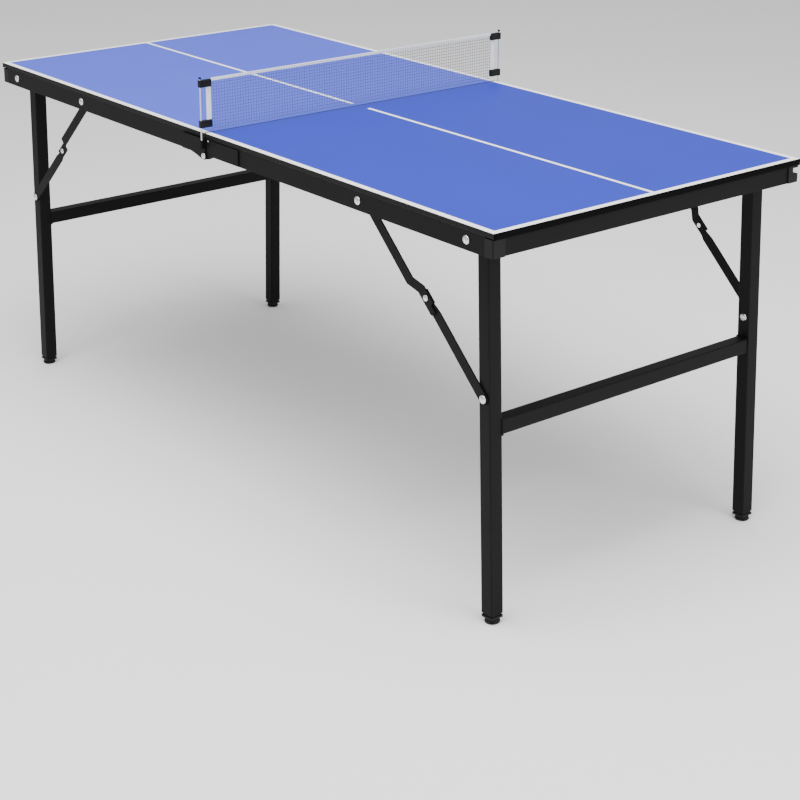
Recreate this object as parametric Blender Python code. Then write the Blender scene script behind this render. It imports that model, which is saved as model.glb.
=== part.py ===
"""Folding table tennis table: two hinged halves, two folding leg frames and a lift-off net.

Metres, +Z up. X runs along the table and Y across it. The origin is on the floor under the
middle of the table. The two halves meet at x = 0 and are called left (-X) and right (+X);
the two long sides are called front (-Y) and back (+Y).
"""

import math

import bmesh
import bpy
from mathutils import Matrix, Vector

# Driving dimensions of the table.
TABLE_LENGTH = 1.524
TABLE_WIDTH = 0.676
TABLE_HEIGHT = 0.658
BOARD_THICKNESS = 0.009
FRAME_DEPTH = 0.040
HALF_GAP = 0.0005

# Clearances.
TOUCH = 0.0003
PIN_CLEARANCE = 0.0003
LINK_CLEARANCE = 0.0005
FOLD_CLEARANCE = 0.0005

# Frame under each board.
RAIL_WALL = 0.0015
RAIL_WIDTH = 0.024
RAIL_LIP = 0.009
END_RAIL_DEPTH = 0.020
END_RAIL_SETBACK = 0.003
NOSING_THICKNESS = 0.003
NOSING_HEIGHT = 0.011
CAP_LENGTH = 0.020
CAP_SETBACK = 0.001
CAP_ROUND = 0.002
LATCH_SLOT_DEPTH = 0.013
LATCH_SLOT_HEIGHT = 0.0107
LATCH_SLOT_DROP = 0.0203
CENTRE_RAIL_SIZE = 0.020
CENTRE_RAIL_OFFSET = 0.003

# Legs.
TUBE_SIZE = 0.025
TUBE_WALL = 0.0015
TUBE_ROUND = 0.002
LEG_INSET = 0.0447
LEG_PIVOT_FROM_END = 0.0604
LEG_PIVOT_DROP = 0.0237
LEG_FOOT_FROM_END = 0.0394
LEG_TOP_ABOVE_PIVOT = 0.006
LEG_FLOOR_CLEARANCE = 0.016
CROSSBAR_DROP = 0.330

# Folding braces.
BRACE_PIVOT_FROM_END = 0.3236
BRACE_LEG_DROP = 0.2578
LINK_WIDTH = 0.0185
LINK_THICKNESS = 0.0025
UPPER_LINK_INSET = 0.0148
JOGGLE_START = 0.0355
JOGGLE_LENGTH = 0.019
UPPER_TAB = 0.029
TAB_TIP_EDGE = 0.002
FLANGE_BEFORE_ELBOW = 0.0109
FLANGE_PAST_ELBOW = 0.0151
NECK_HALF_WIDTH = 0.006
NECK_LENGTH = 0.0145
NECK_FLARE = 0.020

# Pivots, rivets and hinges.
PIN_RADIUS = 0.004
HEAD_RADIUS = 0.0078
HEAD_HEIGHT = 0.003
ELBOW_HEAD_RADIUS = 0.0060
SHOULDER_RADIUS = 0.007
HINGE_HEAD_RADIUS = 0.0060
LEAF_THICKNESS = 0.002
LEAF_LOBE_RADIUS = 0.007
RIGHT_LEAF_LENGTH = 0.104
LEFT_LEAF_LENGTH = 0.070
LEFT_LEAF_REACH = 0.004
LEAF_TOP_DROP = 0.0105
LEAF_FLARE_RIGHT = 0.027
LEAF_FLARE_LEFT = 0.040

# Feet.
FLANGE_THICKNESS = 0.0035
FLANGE_BOTTOM = 0.009
PLUG_LENGTH = 0.020
FOOT_RADIUS = 0.0125
STEM_LENGTH = 0.018
FOOT_TRAVEL_ROOM = 0.0006

# Net.
NET_HEIGHT = 0.0965
NET_BOTTOM = 0.006
NET_THICKNESS = 0.0015
TAPE_HEIGHT = 0.0062
TAPE_THICKNESS = 0.0024
POST_RADIUS = 0.0015
POST_BOTTOM_DROP = 0.026
BALL_RADIUS = 0.0025
BALL_ABOVE_TAPE = 0.002
CLIP_WIDTH = 0.0245
CLIP_HEIGHT = 0.0130
CLIP_THICKNESS = 0.0080
CLIP_BEYOND_POST = 0.0028
LOWER_CLIP_BOTTOM = 0.010
BAND_WIDTH = 0.010
SOCKET_RADIUS = 0.0032
SOCKET_BOTTOM_DROP = 0.0275
SOCKET_TOP_DROP = 0.0125

# Places that follow from the sizes above.
HALF_LENGTH = TABLE_LENGTH / 2
HALF_WIDTH = TABLE_WIDTH / 2
BOARD_UNDERSIDE = TABLE_HEIGHT - BOARD_THICKNESS
FRAME_BOTTOM = TABLE_HEIGHT - FRAME_DEPTH
RAIL_TOP = BOARD_UNDERSIDE - TOUCH
HINGE_Z = FRAME_BOTTOM - FOLD_CLEARANCE
PIVOT_Z = TABLE_HEIGHT - LEG_PIVOT_DROP
PIVOT_X = HALF_LENGTH - LEG_PIVOT_FROM_END
BRACE_X = HALF_LENGTH - BRACE_PIVOT_FROM_END
LEG_Y = HALF_WIDTH - LEG_INSET
LEG_OUTER_Y = LEG_Y + TUBE_SIZE / 2
LEG_TILT = math.atan2(LEG_PIVOT_FROM_END - LEG_FOOT_FROM_END, PIVOT_Z)
LOWER_LINK_INSIDE = LEG_OUTER_Y + LINK_CLEARANCE
LOWER_LINK_OUTSIDE = LOWER_LINK_INSIDE + LINK_THICKNESS
UPPER_TAB_INSIDE = LOWER_LINK_OUTSIDE + TOUCH
UPPER_TAB_OUTSIDE = UPPER_TAB_INSIDE + LINK_THICKNESS
UPPER_LINK_OUTSIDE = HALF_WIDTH - UPPER_LINK_INSET
UPPER_LINK_INSIDE = UPPER_LINK_OUTSIDE - LINK_THICKNESS
RAIL_INNER_Y = HALF_WIDTH - RAIL_WALL
CAP_OUTER_X = HALF_LENGTH - CAP_SETBACK
CAP_INNER_X = CAP_OUTER_X - CAP_LENGTH
RIGHT_LEAF_Y = HALF_WIDTH + TOUCH
LEFT_LEAF_Y = RIGHT_LEAF_Y + LEAF_THICKNESS + TOUCH
HINGE_HEAD_Y = LEFT_LEAF_Y + LEAF_THICKNESS + TOUCH
POST_Y = LEFT_LEAF_Y + LEAF_THICKNESS + SOCKET_RADIUS - TOUCH
NET_TOP = TABLE_HEIGHT + NET_HEIGHT
CLIP_OUTER_Y = POST_Y + CLIP_BEYOND_POST
CLIP_INNER_Y = CLIP_OUTER_Y - CLIP_WIDTH
UPPER_CLIP_TOP = NET_TOP - 0.0015
UPPER_CLIP_BOTTOM = UPPER_CLIP_TOP - CLIP_HEIGHT
LOWER_CLIP_TOP = TABLE_HEIGHT + LOWER_CLIP_BOTTOM + CLIP_HEIGHT

# The brace is straight when the leg is open and flat when the leg is folded.
LEG_ATTACH_X = PIVOT_X + BRACE_LEG_DROP * math.sin(LEG_TILT)
LEG_ATTACH_Z = PIVOT_Z - BRACE_LEG_DROP * math.cos(LEG_TILT)
BRACE_RUN = LEG_ATTACH_X - BRACE_X
BRACE_FALL = PIVOT_Z - LEG_ATTACH_Z
BRACE_LENGTH = math.hypot(BRACE_RUN, BRACE_FALL)
BRACE_ANGLE = math.atan2(BRACE_FALL, BRACE_RUN)
FOLDED_SPACE = (PIVOT_X - BRACE_X) - BRACE_LEG_DROP
UPPER_LENGTH = (BRACE_LENGTH + FOLDED_SPACE) / 2
LOWER_LENGTH = BRACE_LENGTH - UPPER_LENGTH

HALVES = (("left", -1), ("right", 1))
SIDES = (("front", -1), ("back", 1))

for old in list(bpy.data.objects):
    bpy.data.objects.remove(old, do_unlink=True)


def material(name, colour, roughness, metallic=0.0):
    """A Principled material with one colour."""
    made = bpy.data.materials.new(name)
    made.use_nodes = True
    shader = made.node_tree.nodes["Principled BSDF"]
    shader.inputs["Base Color"].default_value = (*colour, 1.0)
    shader.inputs["Roughness"].default_value = roughness
    shader.inputs["Metallic"].default_value = metallic
    return made


BLUE_BOARD = material("blue_board", (0.13, 0.20, 0.62), 0.40)
BLACK_STEEL = material("black_steel", (0.020, 0.020, 0.022), 0.45)
BLACK_PLASTIC = material("black_plastic", (0.015, 0.015, 0.017), 0.50)
BRIGHT_STEEL = material("bright_steel", (0.75, 0.75, 0.77), 0.25, 1.0)
NET_CORD = material("net_cord", (0.72, 0.75, 0.78), 0.80)
NET_TAPE = material("net_tape", (0.80, 0.82, 0.82), 0.70)


def new_object(name, mesh_data, finish, parent=None):
    """Links an object with the mesh of a bmesh, and frees the bmesh."""
    bmesh.ops.recalc_face_normals(mesh_data, faces=mesh_data.faces)
    mesh = bpy.data.meshes.new(name)
    mesh_data.to_mesh(mesh)
    mesh_data.free()
    made = bpy.data.objects.new(name, mesh)
    if finish:
        mesh.materials.append(finish)
    bpy.context.scene.collection.objects.link(made)
    made.parent = parent
    return made


def empty(name, place, turn_y=0.0):
    """A pivot that moving pieces hang from, turned about Y."""
    made = bpy.data.objects.new(name, None)
    made.location = place
    made.rotation_euler = (0.0, turn_y, 0.0)
    bpy.context.scene.collection.objects.link(made)
    return made


def add_box(shape, low, high):
    """Adds a box between two corners to a bmesh."""
    low, high = Vector(map(min, low, high)), Vector(map(max, low, high))
    place = Matrix.Translation((low + high) / 2) @ Matrix.Diagonal((*(high - low), 1.0))
    return bmesh.ops.create_cube(shape, size=1.0, matrix=place)["verts"]


def box(name, low, high, finish, bevel=0.0, parent=None):
    """One box with slightly broken edges."""
    shape = bmesh.new()
    add_box(shape, low, high)
    if bevel:
        bmesh.ops.bevel(shape, geom=shape.edges[:], offset=bevel, segments=1, affect="EDGES", profile=0.5)
    return new_object(name, shape, finish, parent)


def extruded(shape, outline, along, thickness):
    """Adds a prism: the outline's face pushed by thickness along a unit vector."""
    face = shape.faces.new([shape.verts.new(point) for point in outline])
    pushed = bmesh.ops.extrude_face_region(shape, geom=[face])["geom"]
    moved = [item for item in pushed if isinstance(item, bmesh.types.BMVert)]
    bmesh.ops.translate(shape, verts=moved, vec=Vector(along) * thickness)


def round_points(centre, radius, start, end, steps):
    """Points on an arc in a plane, angles in degrees."""
    points = []
    for i in range(steps + 1):
        angle = math.radians(start + (end - start) * i / steps)
        points.append((centre[0] + radius * math.cos(angle), centre[1] + radius * math.sin(angle)))
    return points


def rounded_square(size, radius, steps=3):
    """Corner points of a square with rounded corners, about the origin."""
    inner = size / 2 - radius
    points = []
    for k, (u, v) in enumerate(((1, 1), (-1, 1), (-1, -1), (1, -1))):
        points += round_points((u * inner, v * inner), radius, 90 * k, 90 * k + 90, steps)
    return points


def square_bar(axis, start, end, size, corner, place):
    """A bmesh with a square bar with rounded corners, along Y or Z through place."""
    shape = bmesh.new()
    points = rounded_square(size, corner)
    outline = [(u, start, v) if axis == "Y" else (u, v, start) for u, v in points]
    along = (0, 1, 0) if axis == "Y" else (0, 0, 1)
    extruded(shape, outline, along, end - start)
    bmesh.ops.translate(shape, verts=shape.verts[:], vec=place)
    return shape


def post_cylinder(radius, t, low, high, segments):
    """A bmesh with an upright cylinder on one net post's line."""
    shape = bmesh.new()
    place = Matrix.Translation((0, t * POST_Y, (low + high) / 2))
    bmesh.ops.create_cone(
        shape, cap_ends=True, segments=segments, radius1=radius, radius2=radius, depth=high - low, matrix=place
    )
    return shape


def add_turned(shape, profile, outward, steps=20):
    """Adds a solid of revolution about Y; the profile holds (radius, distance along outward)."""
    verts = [shape.verts.new((radius, outward * along, 0.0)) for radius, along in profile]
    edges = [shape.edges.new(pair) for pair in zip(verts, verts[1:])]
    bmesh.ops.spin(
        shape, geom=verts + edges, cent=(0, 0, 0), axis=(0, 1, 0), angle=math.tau, steps=steps, use_merge=True
    )
    bmesh.ops.remove_doubles(shape, verts=shape.verts[:], dist=0.000001)


def turned(name, profile, place, outward, finish, parent=None):
    """One turned piece, such as a rivet, about a line along Y through place."""
    shape = bmesh.new()
    add_turned(shape, profile, outward)
    made = new_object(name, shape, finish, parent)
    made.location = place
    made.data.shade_smooth()
    made.data.set_sharp_from_angle(angle=math.radians(40))
    return made


def dome(radius, height, base):
    """Profile of a domed rivet head that stands on base, from the rim to the centre."""
    return [
        (radius, base),
        (radius, base + 0.25 * height),
        (0.85 * radius, base + 0.65 * height),
        (0.50 * radius, base + 0.92 * height),
        (0.0, base + height),
    ]


def combine(target, operation, shape, name):
    """Cuts a hidden shape out of an object, or joins it on."""
    helper = new_object(name, shape, None, target.parent)
    helper.hide_render = True
    helper.display_type = "WIRE"
    modifier = target.modifiers.new(operation.lower(), "BOOLEAN")
    modifier.operation = operation
    modifier.solver = "EXACT"
    modifier.object = helper


def cut(target, shape, name):
    """Cuts a hidden shape out of an object."""
    combine(target, "DIFFERENCE", shape, name)


def join(target, shape, name):
    """Welds a hidden shape onto an object."""
    combine(target, "UNION", shape, name)


def cylinder_cutter(places, radius, low_y, high_y):
    """A bmesh with one cylinder along Y for each (x, z)."""
    shape = bmesh.new()
    for x, z in places:
        turn = Matrix.Translation((x, (low_y + high_y) / 2, z)) @ Matrix.Rotation(math.pi / 2, 4, "X")
        turn = turn @ Matrix.Rotation(math.pi / 20, 4, "Z")
        bmesh.ops.create_cone(
            shape, cap_ends=True, segments=20, radius1=radius, radius2=radius, depth=abs(high_y - low_y), matrix=turn
        )
    return shape


def make_board(half, s):
    """The playing board of one half."""
    low = (s * HALF_GAP, -HALF_WIDTH, BOARD_UNDERSIDE)
    high = (s * HALF_LENGTH, HALF_WIDTH, TABLE_HEIGHT)
    box(f"board_{half}", low, high, BLUE_BOARD)


def make_frame(half, s):
    """The steel frame of one half: two channels along the sides, welded to one beside the joint."""
    x = s * HALF_GAP
    length = CAP_INNER_X - TOUCH - HALF_GAP
    shapes = []
    for _, t in SIDES:
        y_inner = t * RAIL_INNER_Y
        outline = [
            (x, t * HALF_WIDTH, FRAME_BOTTOM),
            (x, t * HALF_WIDTH, RAIL_TOP),
            (x, t * (HALF_WIDTH - RAIL_WIDTH), RAIL_TOP),
            (x, t * (HALF_WIDTH - RAIL_WIDTH), RAIL_TOP - RAIL_WALL),
            (x, y_inner, RAIL_TOP - RAIL_WALL),
            (x, y_inner, FRAME_BOTTOM + RAIL_WALL),
            (x, t * (HALF_WIDTH - RAIL_LIP), FRAME_BOTTOM + RAIL_WALL),
            (x, t * (HALF_WIDTH - RAIL_LIP), FRAME_BOTTOM),
        ]
        shape = bmesh.new()
        extruded(shape, outline, (s, 0, 0), length)
        shapes.append(shape)
    frame = new_object(f"side_frame_{half}", shapes[0], BLACK_STEEL)
    join(frame, shapes[1], f"back_channel_{half}")

    near = s * CENTRE_RAIL_OFFSET
    far = s * (CENTRE_RAIL_OFFSET + CENTRE_RAIL_SIZE)
    wall = s * RAIL_WALL
    reach = RAIL_INNER_Y + RAIL_WALL / 2
    top = RAIL_TOP - RAIL_WALL / 3
    low = RAIL_TOP - CENTRE_RAIL_SIZE
    outline = [
        (near, -reach, low),
        (near, -reach, top),
        (far, -reach, top),
        (far, -reach, low),
        (far - wall, -reach, low),
        (far - wall, -reach, top - RAIL_WALL),
        (near + wall, -reach, top - RAIL_WALL),
        (near + wall, -reach, low),
    ]
    cross = bmesh.new()
    extruded(cross, outline, (0, 1, 0), 2 * reach)
    join(frame, cross, f"centre_channel_{half}")
    for side, t in SIDES:
        holes = [(s * PIVOT_X, PIVOT_Z), (s * BRACE_X, PIVOT_Z)]
        span = (t * (HALF_WIDTH - 0.004), t * (HALF_WIDTH + 0.002))
        cut(frame, cylinder_cutter(holes, PIN_RADIUS + PIN_CLEARANCE, *span), f"frame_holes_{half}_{side}")


def make_end_rail(half, s):
    """The end rail: a rounded bead over the board's end, with an apron set back below it."""
    shape = bmesh.new()
    start = HALF_LENGTH + TOUCH
    end = start + NOSING_THICKNESS
    bead_bottom = TABLE_HEIGHT - NOSING_HEIGHT
    add_box(shape, (s * start, -HALF_WIDTH, bead_bottom), (s * end, HALF_WIDTH, TABLE_HEIGHT - TOUCH))
    rim = [edge for edge in shape.edges if all(abs(v.co.x) > end - 0.000001 for v in edge.verts)]
    bmesh.ops.bevel(shape, geom=rim, offset=0.8 * NOSING_THICKNESS, segments=3, affect="EDGES", profile=0.5)
    rail = new_object(f"end_rail_{half}", shape, BLACK_STEEL)
    rail.data.shade_smooth()
    rail.data.set_sharp_from_angle(angle=math.radians(40))

    face = HALF_LENGTH - END_RAIL_SETBACK
    under = BOARD_UNDERSIDE - TOUCH
    reach = HALF_WIDTH - RAIL_WIDTH - TOUCH
    web = face - RAIL_WALL
    neck = start + NOSING_THICKNESS / 2
    outline = [
        (s * face, -reach, FRAME_BOTTOM),
        (s * face, -reach, bead_bottom + RAIL_WALL / 3),
        (s * neck, -reach, bead_bottom + RAIL_WALL / 3),
        (s * neck, -reach, under),
        (s * (face - END_RAIL_DEPTH), -reach, under),
        (s * (face - END_RAIL_DEPTH), -reach, under - RAIL_WALL),
        (s * web, -reach, under - RAIL_WALL),
        (s * web, -reach, FRAME_BOTTOM + RAIL_WALL),
        (s * (face - RAIL_LIP), -reach, FRAME_BOTTOM + RAIL_WALL),
        (s * (face - RAIL_LIP), -reach, FRAME_BOTTOM),
    ]
    apron = bmesh.new()
    extruded(apron, outline, (0, 1, 0), 2 * reach)
    join(rail, apron, f"end_apron_{half}")


def make_corner_cap(half, s, side, t):
    """A plastic block that closes a side channel; the back ones have a slot for a latch strap."""
    shape = bmesh.new()
    top = TABLE_HEIGHT - NOSING_HEIGHT - TOUCH
    low = (s * CAP_INNER_X, t * (HALF_WIDTH - RAIL_WIDTH), FRAME_BOTTOM)
    add_box(shape, low, (s * CAP_OUTER_X, t * HALF_WIDTH, top))
    corner = [
        edge
        for edge in shape.edges
        if all(abs(v.co.x) > CAP_OUTER_X - 0.000001 and abs(v.co.y) > HALF_WIDTH - 0.000001 for v in edge.verts)
    ]
    bmesh.ops.bevel(shape, geom=corner, offset=CAP_ROUND, segments=3, affect="EDGES", profile=0.5)
    cap = new_object(f"corner_cap_{half}_{side}", shape, BLACK_PLASTIC)
    if t < 0:
        return
    slot = bmesh.new()
    middle = TABLE_HEIGHT - LATCH_SLOT_DROP
    add_box(
        slot,
        (s * (CAP_INNER_X - 0.002), HALF_WIDTH - LATCH_SLOT_DEPTH, middle - LATCH_SLOT_HEIGHT / 2),
        (s * (CAP_OUTER_X + 0.002), HALF_WIDTH + 0.002, middle + LATCH_SLOT_HEIGHT / 2),
    )
    cut(cap, slot, f"latch_slot_{half}")


def make_hinge_leaves(side, t):
    """Two steel leaves on one long side: the right one lies flat, the left one steps over it."""
    lobe = LEAF_LOBE_RADIUS
    right = bmesh.new()
    outline = [(u, t * RIGHT_LEAF_Y, v) for u, v in right_leaf_points(lobe)]
    extruded(right, outline, (0, t, 0), LEAF_THICKNESS)
    leaf = new_object(f"hinge_leaf_right_{side}", right, BLACK_STEEL)
    span = (t * (HALF_WIDTH - 0.002), t * (HINGE_HEAD_Y + 0.004))
    cut(leaf, cylinder_cutter([(0, HINGE_Z)], PIN_RADIUS + PIN_CLEARANCE, *span), f"leaf_hole_right_{side}")

    left = bmesh.new()
    outline = [(-u, t * LEFT_LEAF_Y, v) for u, v in left_leaf_points(lobe)]
    extruded(left, outline, (0, t, 0), LEAF_THICKNESS)
    leaf = new_object(f"hinge_leaf_left_{side}", left, BLACK_STEEL)
    foot = bmesh.new()
    add_box(
        foot,
        (-LEFT_LEAF_LENGTH, t * RIGHT_LEAF_Y, FRAME_BOTTOM + 0.001),
        (-LEAF_FLARE_LEFT, t * (LEFT_LEAF_Y + LEAF_THICKNESS / 2), TABLE_HEIGHT - LEAF_TOP_DROP - 0.001),
    )
    join(leaf, foot, f"leaf_step_{side}")
    top = TABLE_HEIGHT - SOCKET_TOP_DROP
    bottom = TABLE_HEIGHT - SOCKET_BOTTOM_DROP
    join(leaf, post_cylinder(SOCKET_RADIUS, t, bottom, top, 16), f"net_socket_{side}")
    floor = TABLE_HEIGHT - POST_BOTTOM_DROP - TOUCH
    cut(leaf, post_cylinder(POST_RADIUS + PIN_CLEARANCE, t, floor, top + 0.002, 12), f"socket_bore_{side}")
    cut(leaf, cylinder_cutter([(0, HINGE_Z)], PIN_RADIUS + PIN_CLEARANCE, *span), f"leaf_hole_left_{side}")


def right_leaf_points(lobe):
    """Outline of the long leaf, with a round lobe about the pin."""
    top = TABLE_HEIGHT - LEAF_TOP_DROP
    points = [(RIGHT_LEAF_LENGTH, top), (RIGHT_LEAF_LENGTH, FRAME_BOTTOM + 0.001)]
    points.append((LEAF_FLARE_RIGHT, FRAME_BOTTOM + 0.001))
    points.append((0.55 * LEAF_FLARE_RIGHT, HINGE_Z - 0.55 * lobe))
    points += round_points((0.0, HINGE_Z), lobe, -75, -180, 7)
    points.append((-lobe, HINGE_Z + 0.2 * lobe))
    points.append((HALF_GAP, HINGE_Z + 2 * lobe))
    points.append((HALF_GAP, top))
    return points


def left_leaf_points(lobe):
    """Outline of the short leaf, as distances to the left of the joint."""
    top = TABLE_HEIGHT - LEAF_TOP_DROP
    points = [(LEFT_LEAF_LENGTH, top), (LEFT_LEAF_LENGTH, FRAME_BOTTOM + 0.001)]
    points.append((LEAF_FLARE_LEFT, FRAME_BOTTOM + 0.001))
    points.append((0.60 * LEAF_FLARE_LEFT, HINGE_Z - 0.25 * lobe))
    points.append((0.35 * LEAF_FLARE_LEFT, HINGE_Z - 0.70 * lobe))
    points += round_points((0.0, HINGE_Z), lobe, -75, -180, 7)
    points.append((-LEFT_LEAF_REACH, HINGE_Z + 1.2 * lobe))
    points.append((-LEFT_LEAF_REACH, top))
    return points


def make_hinge_pin(side, t):
    """A rivet of the middle hinge, through both leaves of one side."""
    inner = RIGHT_LEAF_Y
    head = dome(HINGE_HEAD_RADIUS, HEAD_HEIGHT, HINGE_HEAD_Y)
    profile = [(0.0, inner), (PIN_RADIUS, inner), (PIN_RADIUS, HINGE_HEAD_Y), *head]
    turned(f"hinge_pin_{side}", profile, (0, 0, HINGE_Z), t, BRIGHT_STEEL)


def shouldered_rivet(name, place, t, inside, shoulder):
    """A rivet that hangs from a side channel: its shoulder keeps a moving piece off the web."""
    outside = HALF_WIDTH + TOUCH
    profile = [(0.0, inside - HEAD_HEIGHT), (0.8 * SHOULDER_RADIUS, inside - HEAD_HEIGHT), (SHOULDER_RADIUS, inside)]
    profile += [(PIN_RADIUS, inside), (PIN_RADIUS, shoulder), (SHOULDER_RADIUS, shoulder)]
    profile += [(SHOULDER_RADIUS, RAIL_INNER_Y - TOUCH), (PIN_RADIUS, RAIL_INNER_Y - TOUCH)]
    profile += [(PIN_RADIUS, outside), *dome(HEAD_RADIUS, HEAD_HEIGHT, outside)]
    turned(name, profile, place, t, BRIGHT_STEEL)


def make_pivots(half, s, side, t):
    """The rivets that carry one leg and one upper brace link."""
    leg_inside = LEG_Y - TUBE_SIZE / 2 - TOUCH
    shouldered_rivet(f"leg_pivot_{half}_{side}", (s * PIVOT_X, 0, PIVOT_Z), t, leg_inside, LEG_OUTER_Y + TOUCH)
    link_inside = UPPER_LINK_INSIDE - TOUCH
    link_shoulder = UPPER_LINK_OUTSIDE + TOUCH
    shouldered_rivet(f"brace_pivot_{half}_{side}", (s * BRACE_X, 0, PIVOT_Z), t, link_inside, link_shoulder)


def link_frame(name, s, x, z):
    """An empty whose local X runs down the open brace towards the leg."""
    made = empty(name, (s * x, 0, z))
    direction = Vector((s * math.cos(BRACE_ANGLE), 0, -math.sin(BRACE_ANGLE)))
    side = Vector((0, 1, 0))
    made.matrix_world = Matrix.Translation((s * x, 0, z)) @ Matrix(
        (direction, side, direction.cross(side))
    ).transposed().to_4x4()
    return made


def make_upper_link(half, s, side, t):
    """The upper brace link: it steps inwards before the elbow, where its outer edge is a stop flange."""
    frame = link_frame(f"upper_link_frame_{half}_{side}", s, BRACE_X, PIVOT_Z)
    wide = LINK_WIDTH / 2
    bend = UPPER_LENGTH - JOGGLE_START
    flat = bend + JOGGLE_LENGTH
    flange_start = UPPER_LENGTH - FLANGE_BEFORE_ELBOW
    flange_end = UPPER_LENGTH + FLANGE_PAST_ELBOW
    end = UPPER_LENGTH + UPPER_TAB
    points = round_points((0.0, 0.0), wide, 90, 270, 8)
    points += [(bend, -wide), (flat, -wide), (end - 0.003, -wide), (end, -wide + 0.003)]
    points += [(end, TAB_TIP_EDGE), (flange_end, TAB_TIP_EDGE), (flange_end, wide), (flat, wide), (bend, wide)]
    shape = bmesh.new()
    extruded(shape, [(u, t * UPPER_LINK_OUTSIDE, s * v) for u, v in points], (0, -t, 0), LINK_THICKNESS)
    for place in (bend, flat):
        whole = shape.verts[:] + shape.edges[:] + shape.faces[:]
        bmesh.ops.bisect_plane(shape, geom=whole, plane_co=(place, 0, 0), plane_no=(1, 0, 0))
    step = UPPER_LINK_OUTSIDE - UPPER_TAB_OUTSIDE
    for vert in shape.verts:
        share = min(max((vert.co.x - bend) / JOGGLE_LENGTH, 0.0), 1.0)
        vert.co.y -= t * step * share
    link = new_object(f"brace_upper_{half}_{side}", shape, BLACK_STEEL, frame)

    flange = bmesh.new()
    middle = UPPER_TAB_INSIDE + LINK_THICKNESS / 2
    add_box(
        flange,
        (flange_start, t * middle, s * (NECK_HALF_WIDTH + TOUCH)),
        (flange_end - 0.0002, t * LOWER_LINK_INSIDE, s * (wide - 0.0002)),
    )
    join(link, flange, f"stop_flange_{half}_{side}")
    holes = [(0.0, 0.0), (UPPER_LENGTH, 0.0)]
    span = (t * (UPPER_LINK_OUTSIDE + 0.002), t * (UPPER_TAB_INSIDE - 0.002))
    cut(link, cylinder_cutter(holes, PIN_RADIUS + PIN_CLEARANCE, *span), f"upper_holes_{half}_{side}")

    outside = UPPER_TAB_OUTSIDE + TOUCH
    head = dome(ELBOW_HEAD_RADIUS, 0.8 * HEAD_HEIGHT, outside)
    profile = [(0.0, LOWER_LINK_INSIDE), (PIN_RADIUS, LOWER_LINK_INSIDE), (PIN_RADIUS, outside), *head]
    turned(f"elbow_rivet_{half}_{side}", profile, (UPPER_LENGTH, 0, 0), t, BRIGHT_STEEL, frame)


def make_lower_link(half, s, side, t):
    """The lower brace link: its narrow neck lies against the stop flange when the leg is open."""
    elbow_x = BRACE_X + UPPER_LENGTH * math.cos(BRACE_ANGLE)
    elbow_z = PIVOT_Z - UPPER_LENGTH * math.sin(BRACE_ANGLE)
    frame = link_frame(f"lower_link_frame_{half}_{side}", s, elbow_x, elbow_z)
    wide = LINK_WIDTH / 2
    neck = NECK_HALF_WIDTH
    points = round_points((0.0, 0.0), neck, 90, 270, 8)
    points += [(NECK_LENGTH, -neck), (NECK_LENGTH + NECK_FLARE / 2, -wide)]
    points += round_points((LOWER_LENGTH, 0.0), wide, -90, 90, 8)
    points += [(NECK_LENGTH + NECK_FLARE, wide), (NECK_LENGTH, neck)]
    shape = bmesh.new()
    extruded(shape, [(u, t * LOWER_LINK_OUTSIDE, s * v) for u, v in points], (0, -t, 0), LINK_THICKNESS)
    link = new_object(f"brace_lower_{half}_{side}", shape, BLACK_STEEL, frame)
    span = (t * (LOWER_LINK_OUTSIDE + 0.002), t * (LEG_OUTER_Y - 0.002))
    holes = [(0.0, 0.0), (LOWER_LENGTH, 0.0)]
    cut(link, cylinder_cutter(holes, PIN_RADIUS + PIN_CLEARANCE, *span), f"lower_holes_{half}_{side}")

    outside = LOWER_LINK_OUTSIDE + TOUCH
    head = dome(HEAD_RADIUS, HEAD_HEIGHT, outside)
    profile = [(0.0, LOWER_LINK_INSIDE), (PIN_RADIUS, LOWER_LINK_INSIDE), (PIN_RADIUS, outside), *head]
    turned(f"leg_rivet_{half}_{side}", profile, (LOWER_LENGTH, 0, 0), t, BRIGHT_STEEL, frame)


def make_leg_frame(half, s):
    """Two square legs welded to a crossbar; the frame turns about the leg pivots."""
    pivot = empty(f"leg_frame_pivot_{half}", (s * PIVOT_X, 0, PIVOT_Z), -s * LEG_TILT)
    length = (PIVOT_Z - LEG_FLOOR_CLEARANCE) / math.cos(LEG_TILT)
    bar_drop = (CROSSBAR_DROP - LEG_PIVOT_DROP) / math.cos(LEG_TILT)
    bore = TUBE_SIZE - 2 * TUBE_WALL
    corner = TUBE_ROUND - TUBE_WALL
    inner_face = LEG_Y - TUBE_SIZE / 2
    weld = inner_face + TUBE_WALL / 2
    through = inner_face + 2 * TUBE_WALL
    front = square_bar("Z", LEG_TOP_ABOVE_PIVOT, -length, TUBE_SIZE, TUBE_ROUND, (0, -LEG_Y, 0))
    back = square_bar("Z", LEG_TOP_ABOVE_PIVOT, -length, TUBE_SIZE, TUBE_ROUND, (0, LEG_Y, 0))
    legs = new_object(f"leg_frame_{half}", front, BLACK_STEEL, pivot)
    join(legs, back, f"back_leg_{half}")
    bar = square_bar("Y", -weld, weld, TUBE_SIZE, TUBE_ROUND, (0, 0, -bar_drop))
    join(legs, bar, f"crossbar_{half}")
    for side, t in SIDES:
        hollow = square_bar("Z", TUBE_SIZE, -length - TUBE_SIZE, bore, corner, (0, t * LEG_Y, 0))
        cut(legs, hollow, f"leg_bore_{half}_{side}")
        span = (t * (LEG_Y - TUBE_SIZE), t * (LEG_Y + TUBE_SIZE))
        cut(legs, cylinder_cutter([(0.0, 0.0)], PIN_RADIUS + PIN_CLEARANCE, *span), f"leg_hole_{half}_{side}")
        make_plug(half, s, side, t, pivot, length)
    cut(legs, square_bar("Y", -through, through, bore, corner, (0, 0, -bar_drop)), f"crossbar_bore_{half}")


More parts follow.
